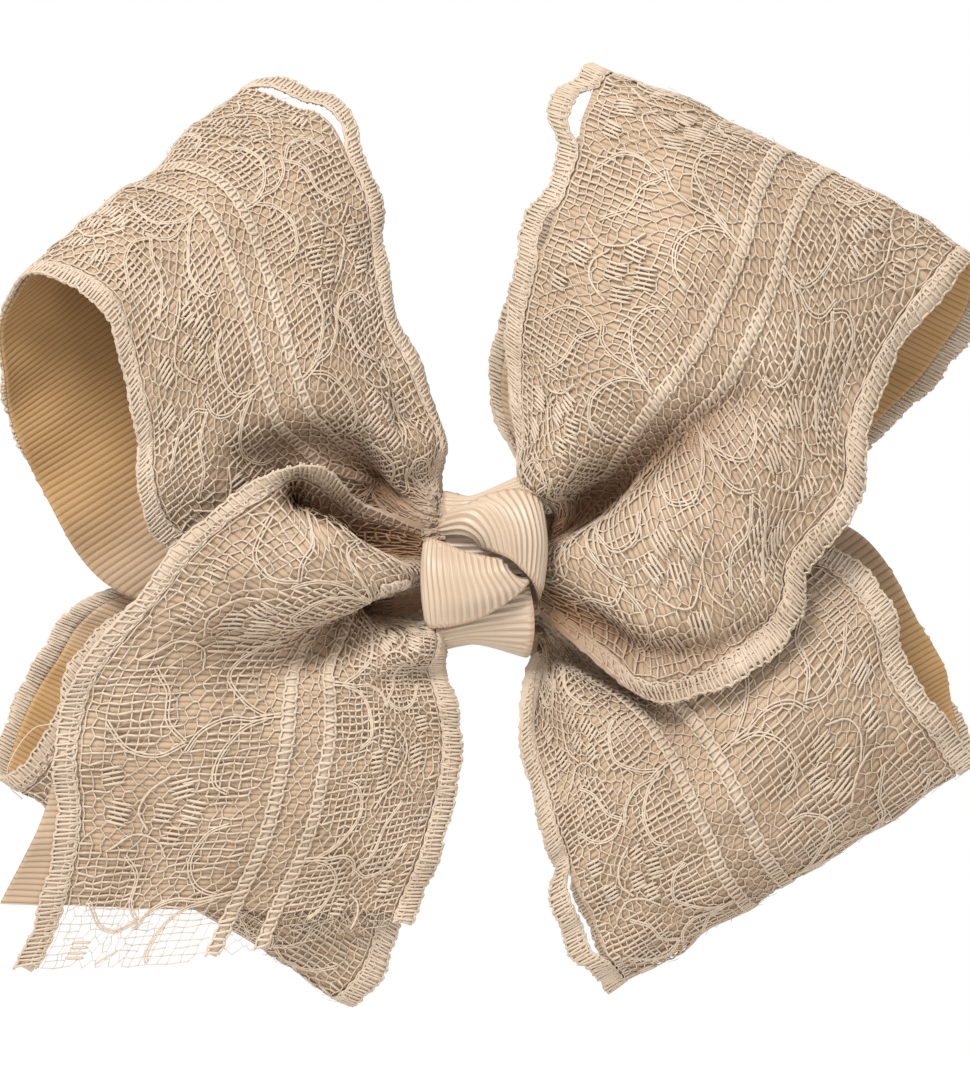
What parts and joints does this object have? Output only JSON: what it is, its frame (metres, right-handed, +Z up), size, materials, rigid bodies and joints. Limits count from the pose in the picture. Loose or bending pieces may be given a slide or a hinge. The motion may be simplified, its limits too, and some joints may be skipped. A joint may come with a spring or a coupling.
{
  "type": "hair bow",
  "caption": "Large hair bow of wide ribbed ribbon under lace, with looped folds and one tail, a knotted centre strip, and a sprung toothed clip behind.",
  "frame": {"origin": "between the clip's jaws, behind the middle of the centre knot", "axes": "+Z up as worn, +X to the viewer's right along the clip, -Y out of the bow's face, +Y towards the head"},
  "size_m": [0.1428, 0.0452, 0.1375],
  "materials": {
    "grosgrain": "ribbed polyester ribbon, matt with a soft sheen on each rib",
    "lace": "open cotton and polyester lace, matt",
    "centre_strip": "narrow ribbed ribbon, satin ribs",
    "thread": "twisted sewing thread",
    "glue": "cloudy hot-melt glue",
    "steel": "bright nickel-plated pressed steel",
    "spring_steel": "drawn spring wire"
  },
  "bodies": {
    "bow": {"ribbon_upper_left": "grosgrain", "ribbon_upper_right": "grosgrain", "ribbon_lower_right": "grosgrain", "ribbon_lower_left": "grosgrain", "ribbon_tail": "grosgrain", "lace_upper_left": "lace", "lace_upper_right": "lace", "lace_lower_right": "lace", "lace_lower_left": "lace", "lace_tail": "lace", "gathered_middle": "grosgrain", "gathering_thread": "thread", "knot_strip": "centre_strip", "glue_pad": "glue", "clip_bow_arm": "steel", "clip_pin": "steel", "clip_spring": "spring_steel"},
    "head_jaw": {"clip_head_arm": "steel"}
  },
  "joints": [
    {"name": "jaw_hinge", "type": "hinge", "parent": "bow", "child": "head_jaw", "pos_m": [0.013, 0.0024, 0], "axis": [0, 0, -1], "range_deg": [0, 25], "stiffness_Nm_per_rad": 0.12, "springref_deg": -40.11, "deforming": ["clip_spring"]}
  ]
}
